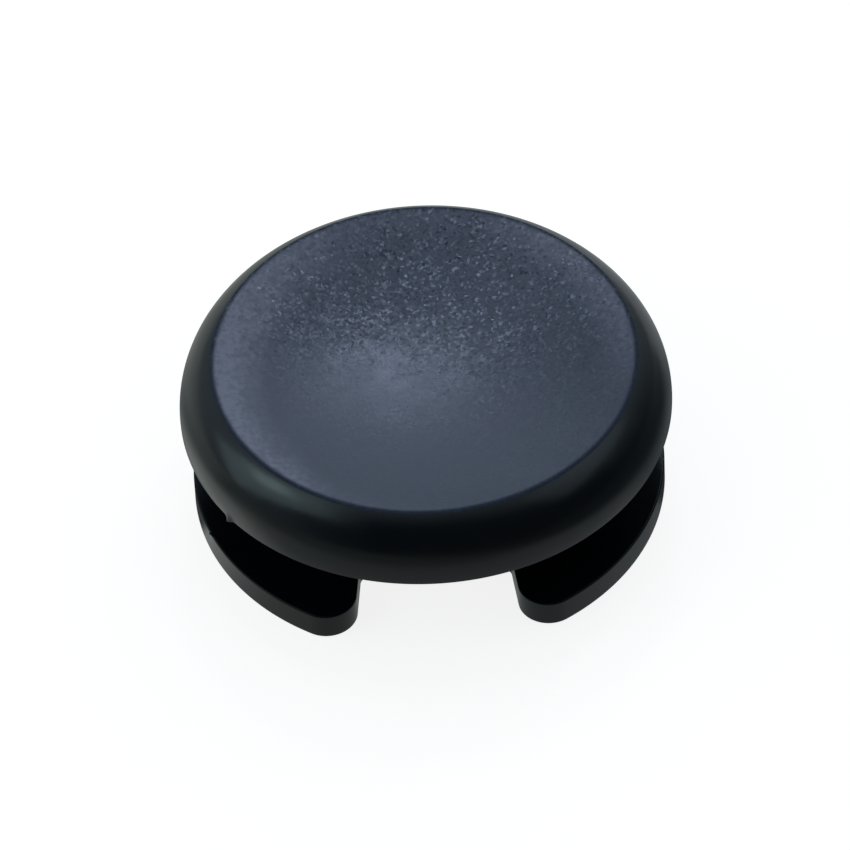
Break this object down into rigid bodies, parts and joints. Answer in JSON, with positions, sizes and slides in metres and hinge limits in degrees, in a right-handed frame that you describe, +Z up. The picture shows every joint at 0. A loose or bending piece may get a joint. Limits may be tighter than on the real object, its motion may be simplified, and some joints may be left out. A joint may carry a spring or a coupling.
{
  "type": "slide pad thumb cap",
  "caption": "Black plastic thumb cap of a handheld console's slide pad: dished disc, neck with a socket below, and notched lower wings.",
  "frame": {"origin": "centre of the base, on the neck's axis, level with the undersides of the wings", "axes": "+Z up along the neck towards the dished thumb face; the wings reach to -X and +X, and the notches face -Y (front) and +Y (back)"},
  "size_m": [0.016, 0.016, 0.0058],
  "materials": {
    "cap_plastic": "black moulded plastic, satin on the rim and fine spark grain in the dish"
  },
  "bodies": {
    "root": {"thumb_cap": "cap_plastic"}
  },
  "joints": []
}
